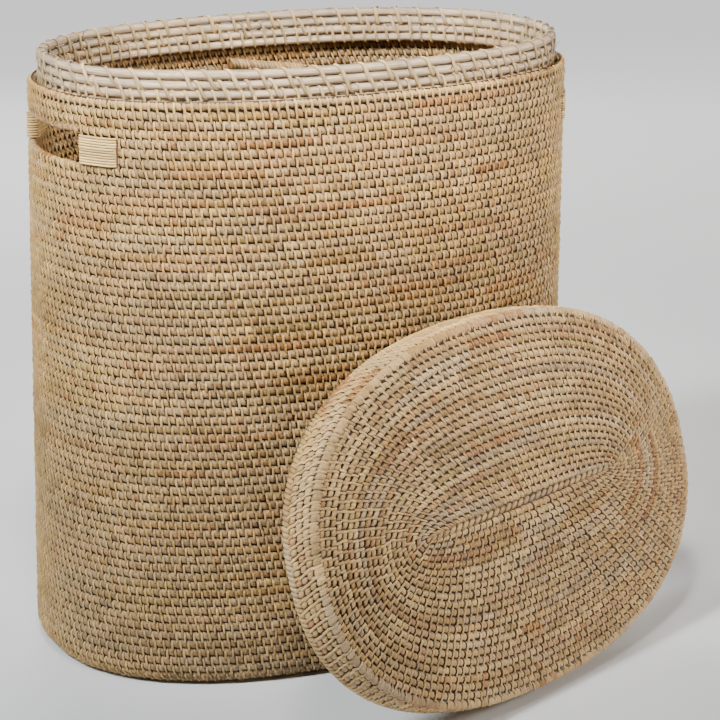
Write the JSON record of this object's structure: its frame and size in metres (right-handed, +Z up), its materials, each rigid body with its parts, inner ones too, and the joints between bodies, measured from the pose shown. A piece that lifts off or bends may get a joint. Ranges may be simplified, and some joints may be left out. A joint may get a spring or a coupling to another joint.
{
  "type": "laundry basket woven",
  "caption": "Tall oval coiled-rattan laundry basket with a raised pole collar, a hand hole in each narrow end and a loose coiled lid leaning on its front.",
  "frame": {"origin": "centre of the oval underside, at floor level", "axes": "+Z up out of the mouth, +X along the long axis of the oval towards the right-hand hole, -Y towards the front where the lid leans"},
  "size_m": [0.6435, 0.5782, 0.6076],
  "materials": {
    "weave": "honey-beige split rattan, satin",
    "lid_weave": "slightly paler split rattan, satin",
    "pole": "pale grey-beige peeled rattan pole, dry",
    "lashing": "straw-coloured flat cane, smooth"
  },
  "bodies": {
    "basket": {"base_coil": "weave", "foot_turn": "weave", "lower_wall": "weave", "front_band": "weave", "back_band": "weave", "upper_wall": "weave", "shoulder_course": "weave", "left_hole_lower_edge": "weave", "left_hole_upper_edge": "weave", "right_hole_lower_edge": "weave", "right_hole_upper_edge": "weave", "lashing_back_right": "lashing", "lashing_back_left": "lashing", "lashing_front_left": "lashing", "lashing_front_right": "lashing", "inner_pole": "pole", "collar_pole_lower": "pole", "collar_pole_middle": "pole", "collar_pole_top": "pole", "inner_ledge": "weave"},
    "lid": {"lid_edge": "lid_weave", "lid_skirt": "lid_weave", "lid_corner": "lid_weave", "lid_top": "lid_weave"}
  },
  "joints": [
    {"name": "lid_lift_off", "type": "slide", "parent": "basket", "child": "lid", "axis": [0.3185, -0.9044, 0.284], "range_m": [0, 0.3]}
  ]
}
